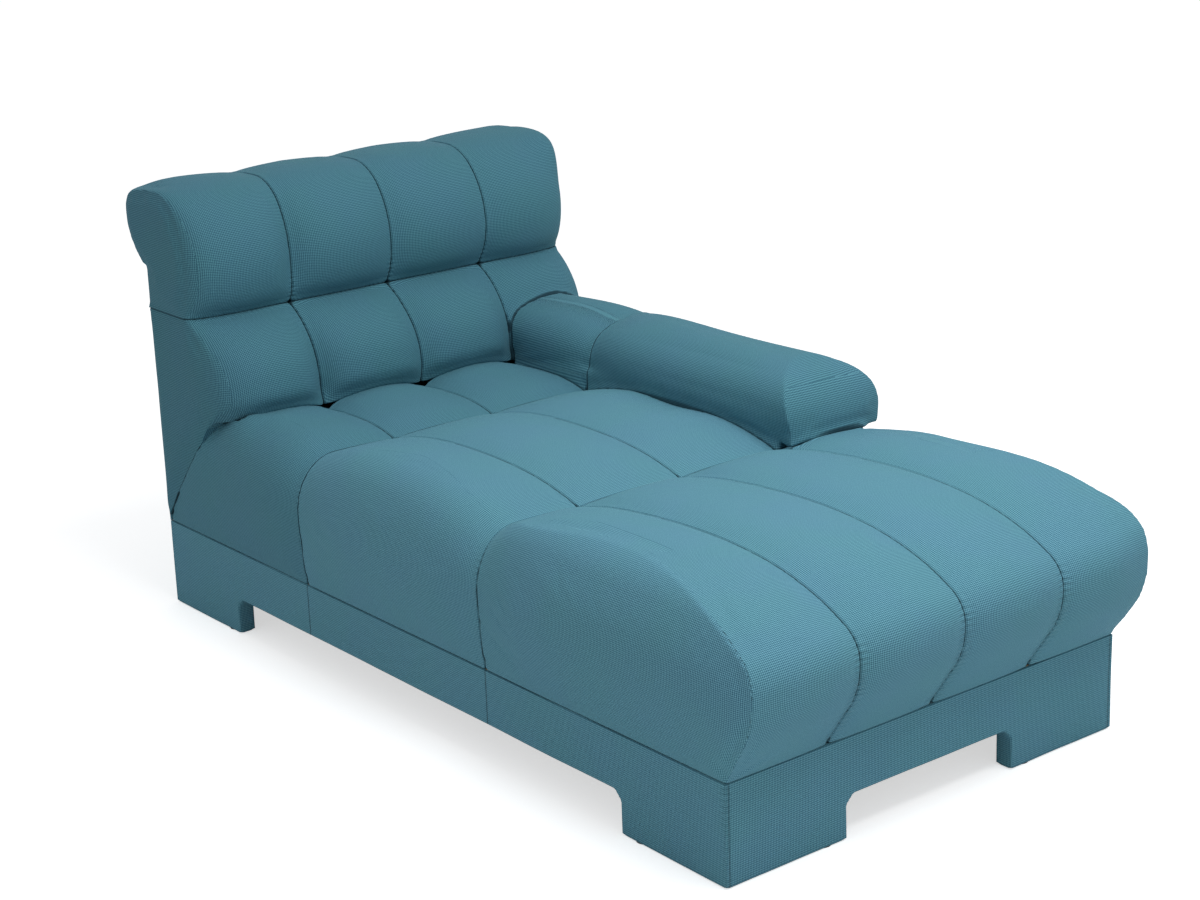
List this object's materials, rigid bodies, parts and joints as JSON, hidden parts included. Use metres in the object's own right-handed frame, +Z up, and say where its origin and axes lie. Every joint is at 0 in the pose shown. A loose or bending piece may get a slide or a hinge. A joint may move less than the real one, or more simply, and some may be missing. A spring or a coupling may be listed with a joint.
{
  "type": "chaise longue",
  "caption": "One-arm chaise longue, upholstered all over in channelled and tufted pillows, with a rolled head, a bullnosed foot end and a skirted plinth on corner feet",
  "frame": {"origin": "on the floor, under the middle of the overall box", "axes": "+Z up, the foot end points to -Y, the backrest is at +Y and the arm at +X"},
  "size_m": [0.8503, 1.7, 0.797],
  "materials": {
    "cover_cloth": "ribbed two-tone weave, matt",
    "felt": "needled felt",
    "webbing": "elastic webbing",
    "foam": "open-cell foam",
    "lining": "thin black lining",
    "nylon": "matt",
    "zinc_steel": "zinc plated",
    "plywood": "bare",
    "hardboard": "bare",
    "timber": "planed"
  },
  "bodies": {
    "root": {"arm_board_inner": "plywood", "arm_board_outer": "plywood", "arm_foam": "foam", "arm_pillow_front": "cover_cloth", "arm_pillow_rear": "cover_cloth", "arm_posts": "timber", "arm_top_board": "plywood", "back_foam": "foam", "back_pillow_lower_1": "cover_cloth", "back_pillow_lower_2": "cover_cloth", "back_pillow_lower_3": "cover_cloth", "back_pillow_lower_4": "cover_cloth", "back_pillow_upper_1": "cover_cloth", "back_pillow_upper_2": "cover_cloth", "back_pillow_upper_3": "cover_cloth", "back_pillow_upper_4": "cover_cloth", "back_post_left": "timber", "back_post_right": "timber", "back_rails": "timber", "back_webbing": "webbing", "dust_cover": "lining", "foot_glides": "nylon", "head_foam": "foam", "head_rail": "timber", "joining_bolts": "zinc_steel", "joining_plates": "zinc_steel", "outside_back_board": "hardboard", "outside_back_cover": "cover_cloth", "plinth_corner_blocks": "timber", "plinth_cover_front": "cover_cloth", "plinth_cover_left": "cover_cloth", "plinth_cover_rear": "cover_cloth", "plinth_cover_right": "cover_cloth", "plinth_cross_rails": "timber", "plinth_panel_front": "plywood", "plinth_panel_left": "plywood", "plinth_panel_rear": "plywood", "plinth_panel_right": "plywood", "seat_felt": "felt", "seat_foam_front": "foam", "seat_foam_middle": "foam", "seat_foam_rear": "foam", "seat_joist_arm": "timber", "seat_pillow_front_1": "cover_cloth", "seat_pillow_front_2": "cover_cloth", "seat_pillow_front_3": "cover_cloth", "seat_pillow_front_4": "cover_cloth", "seat_pillow_middle_1": "cover_cloth", "seat_pillow_middle_2": "cover_cloth", "seat_pillow_middle_3": "cover_cloth", "seat_pillow_rear_1": "cover_cloth", "seat_pillow_rear_2": "cover_cloth", "seat_pillow_rear_3": "cover_cloth", "seat_rail_front": "timber", "seat_rail_left": "timber", "seat_rail_middle": "timber", "seat_rail_rear": "timber", "seat_rail_right": "timber", "webbing_crosswise": "webbing", "webbing_lengthwise": "webbing"}
  },
  "joints": []
}
